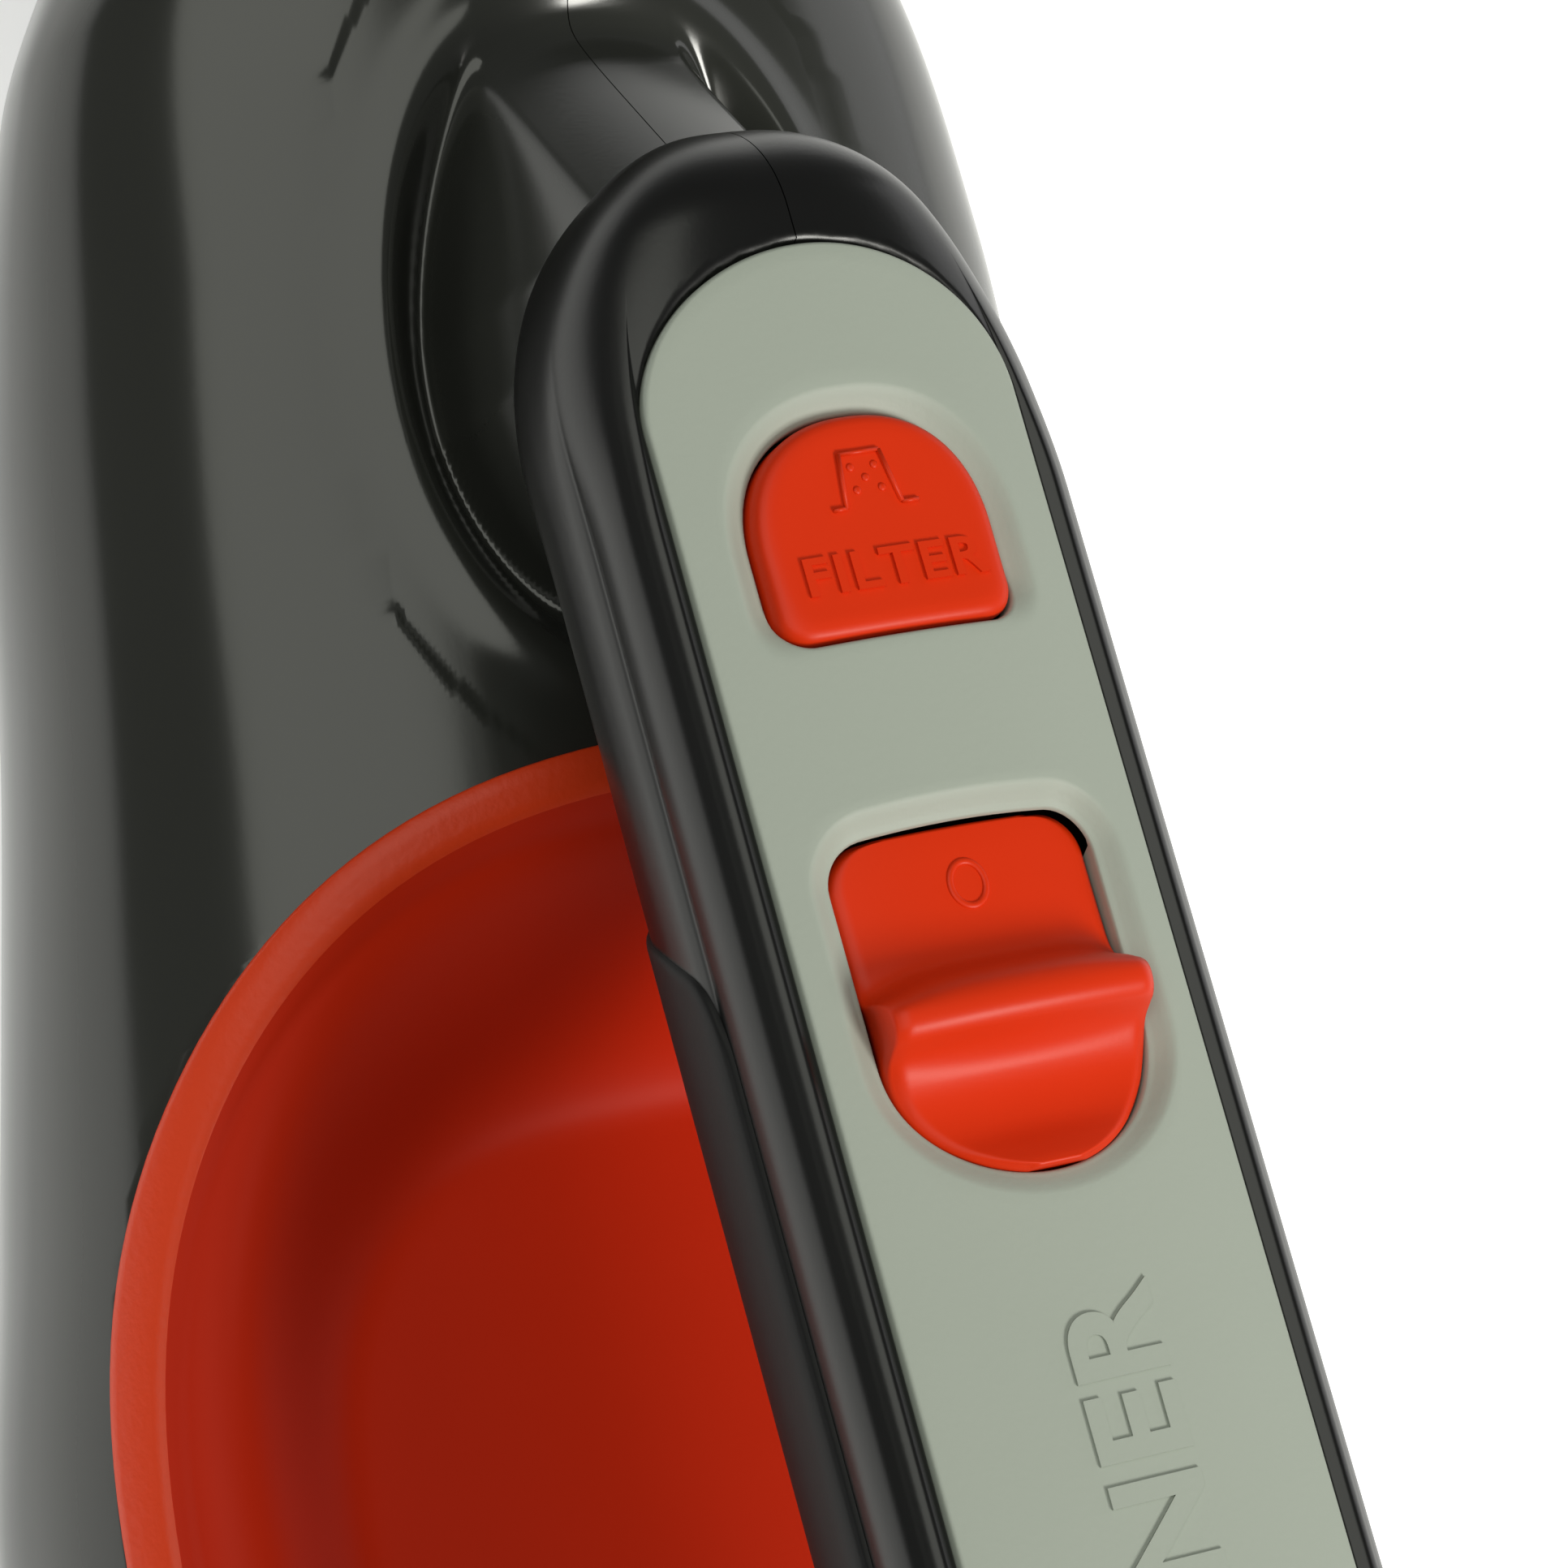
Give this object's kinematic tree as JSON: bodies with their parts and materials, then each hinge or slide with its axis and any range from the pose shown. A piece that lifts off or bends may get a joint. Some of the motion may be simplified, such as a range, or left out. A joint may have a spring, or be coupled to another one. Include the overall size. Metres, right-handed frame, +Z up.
{
  "type": "handheld vacuum",
  "caption": "Cordless handheld vacuum: grey two-shell housing, bridge handle with release button and power slider, smoked dust bowl with wide mouth.",
  "frame": {"origin": "centre of the object's box, on the surface that its feet stand on", "axes": "+X towards the intake mouth, +Y to the left side, +Z up"},
  "size_m": [0.41, 0.1162, 0.1306],
  "materials": {
    "titanium_plastic": "glossy dark grey moulded plastic",
    "black_gloss": "glossy black moulded plastic",
    "satin_grey": "satin light grey-green plastic",
    "orange_plastic": "satin-gloss orange plastic",
    "smoked_clear": "smoked transparent plastic",
    "black_matte": "matt black plastic",
    "soft_grip": "soft-touch rubber",
    "seal_rubber": "moulded rubber",
    "filter_paper": "pleated white non-woven",
    "steel": "machined steel",
    "copper": "copper",
    "battery_wrap": "blue shrink wrap",
    "board_green": "green circuit board",
    "white_plastic": "white plastic"
  },
  "bodies": {
    "housing": {"housing_left": "titanium_plastic", "housing_right": "titanium_plastic", "handle_left": "black_gloss", "handle_right": "black_gloss", "handle_insert": "satin_grey", "hand_pocket": "orange_plastic", "exhaust_grille_left": "black_matte", "exhaust_grille_right": "black_matte", "base_plinth": "black_matte", "power_switch": "black_matte", "collar_ring": "black_matte", "motor_mount_rear": "black_matte", "motor_mount_front": "black_matte", "fan_shroud": "black_matte", "battery_tray": "black_matte", "grip_underside": "soft_grip", "foot_1": "seal_rubber", "foot_2": "seal_rubber", "foot_3": "seal_rubber", "foot_4": "seal_rubber", "bowl_seal": "seal_rubber", "housing_screw_1": "steel", "housing_screw_2": "steel", "housing_screw_3": "steel", "housing_screw_4": "steel", "handle_screw_1": "steel", "handle_screw_2": "steel", "button_spring": "steel", "latch_pin": "steel", "motor_can": "steel", "bearing_rear": "steel", "bearing_front": "steel", "charge_contact_left": "copper", "charge_contact_right": "copper", "battery_cell_1": "battery_wrap", "battery_cell_2": "battery_wrap", "battery_cell_3": "battery_wrap", "battery_cell_4": "battery_wrap", "circuit_board": "board_green", "status_light": "white_plastic"},
    "button": {"filter_button": "orange_plastic"},
    "rod": {"release_rod": "white_plastic"},
    "latch": {"bowl_latch": "black_matte"},
    "slider": {"power_slider": "orange_plastic"},
    "bowl": {"dust_bowl": "smoked_clear", "flap_frame": "black_matte", "flap_pin": "steel"},
    "filter": {"filter_frame": "orange_plastic", "filter_element": "filter_paper"},
    "flap": {"intake_flap": "seal_rubber"},
    "rotor": {"motor_shaft": "steel", "motor_armature": "copper", "fan_impeller": "black_matte"}
  },
  "joints": [
    {"name": "filter_press", "type": "slide", "parent": "housing", "child": "button", "axis": [0, 0, -1], "range_m": [0, 0.0025], "stiffness_N_per_m": 900, "deforming": ["button_spring"]},
    {"name": "rod_slide", "type": "slide", "parent": "housing", "child": "rod", "axis": [0.9541, 0, -0.2995], "range_m": [0, 0.0025]},
    {"name": "latch_swing", "type": "hinge", "parent": "housing", "child": "latch", "pos_m": [0.0856, 0, 0.0934], "axis": [0, 1, 0], "range_deg": [-6, 0]},
    {"name": "power_slide", "type": "slide", "parent": "housing", "child": "slider", "axis": [1, 0, 0], "range_m": [0, 0.007]},
    {"name": "bowl_slide", "type": "slide", "parent": "housing", "child": "bowl", "axis": [1, 0, 0], "range_m": [0, 0.13]},
    {"name": "filter_pull", "type": "slide", "parent": "bowl", "child": "filter", "axis": [-1, 0, 0], "range_m": [0, 0.052]},
    {"name": "flap_swing", "type": "hinge", "parent": "bowl", "child": "flap", "pos_m": [0.1571, 0, 0.061], "axis": [0, 1, 0], "range_deg": [0, 60], "stiffness_Nm_per_rad": 0.01},
    {"name": "motor_spin", "type": "hinge", "parent": "housing", "child": "rotor", "pos_m": [0.04, 0, 0.066], "axis": [1, 0, 0], "continuous": true}
  ],
  "couplings": [
    {"joint": "rod_slide", "follows": "filter_press", "ratio": 1},
    {"joint": "latch_swing", "follows": "filter_press", "rad_per_m": -40},
    {"joint": "filter_pull", "follows": "bowl_slide", "ratio": 0.4}
  ]
}
